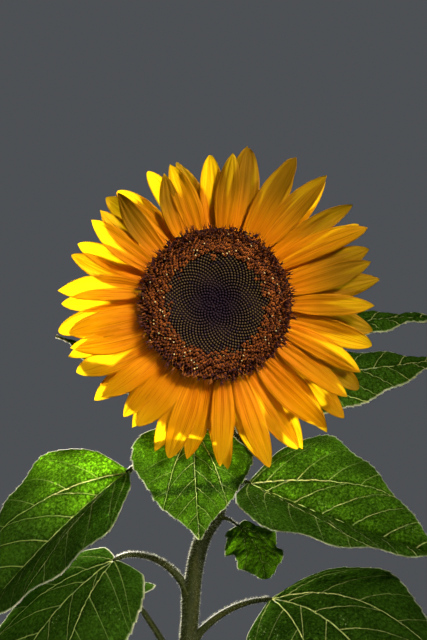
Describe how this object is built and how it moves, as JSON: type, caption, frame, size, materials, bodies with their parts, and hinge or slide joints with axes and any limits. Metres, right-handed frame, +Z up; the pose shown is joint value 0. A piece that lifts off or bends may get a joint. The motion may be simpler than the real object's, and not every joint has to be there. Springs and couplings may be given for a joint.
{
  "type": "sunflower plant",
  "caption": "Tall single-stemmed sunflower in full bloom, its broad dark-centred flower facing forward above heart-shaped leaves.",
  "frame": {"origin": "middle of the flat cut at the foot of the stem, at ground level", "axes": "+Z up the stem, the flower faces -Y and nods eight degrees, +X to the flower's right as seen from the front"},
  "size_m": [0.5952, 0.5442, 1.6475],
  "materials": {
    "stalk": "green herbaceous stalk, ribbed, matt, with short stiff pale hairs",
    "leaf": "mid green quilted leaf with pale veins and a pale toothed margin",
    "bract": "dull green pointed bract with a hairy margin",
    "ray": "golden yellow to orange ray floret with fine lengthwise grooves",
    "receptacle": "fleshy green back of the flower, matt",
    "disc": "tight brown florets, purple-black in the middle"
  },
  "bodies": {
    "root": {"bracts_inner": "bract", "bracts_outer": "bract", "disc": "disc", "leaf_back": "leaf", "leaf_front": "leaf", "leaf_left_lower": "leaf", "leaf_left_rear": "leaf", "leaf_left_under": "leaf", "leaf_left_upper": "leaf", "leaf_lower_1": "leaf", "leaf_lower_10": "leaf", "leaf_lower_2": "leaf", "leaf_lower_3": "leaf", "leaf_lower_4": "leaf", "leaf_lower_5": "leaf", "leaf_lower_6": "leaf", "leaf_lower_7": "leaf", "leaf_lower_8": "leaf", "leaf_lower_9": "leaf", "leaf_right_lower": "leaf", "leaf_right_rear": "leaf", "leaf_right_top": "leaf", "leaf_right_upper": "leaf", "leaf_small": "leaf", "neck": "stalk", "petiole_back": "stalk", "petiole_front": "stalk", "petiole_left_lower": "stalk", "petiole_left_rear": "stalk", "petiole_left_under": "stalk", "petiole_left_upper": "stalk", "petiole_lower_1": "stalk", "petiole_lower_10": "stalk", "petiole_lower_2": "stalk", "petiole_lower_3": "stalk", "petiole_lower_4": "stalk", "petiole_lower_5": "stalk", "petiole_lower_6": "stalk", "petiole_lower_7": "stalk", "petiole_lower_8": "stalk", "petiole_lower_9": "stalk", "petiole_right_lower": "stalk", "petiole_right_rear": "stalk", "petiole_right_top": "stalk", "petiole_right_upper": "stalk", "petiole_small": "stalk", "rays_back": "ray", "rays_front": "ray", "rays_middle": "ray", "receptacle": "receptacle", "stem": "stalk"}
  },
  "joints": []
}
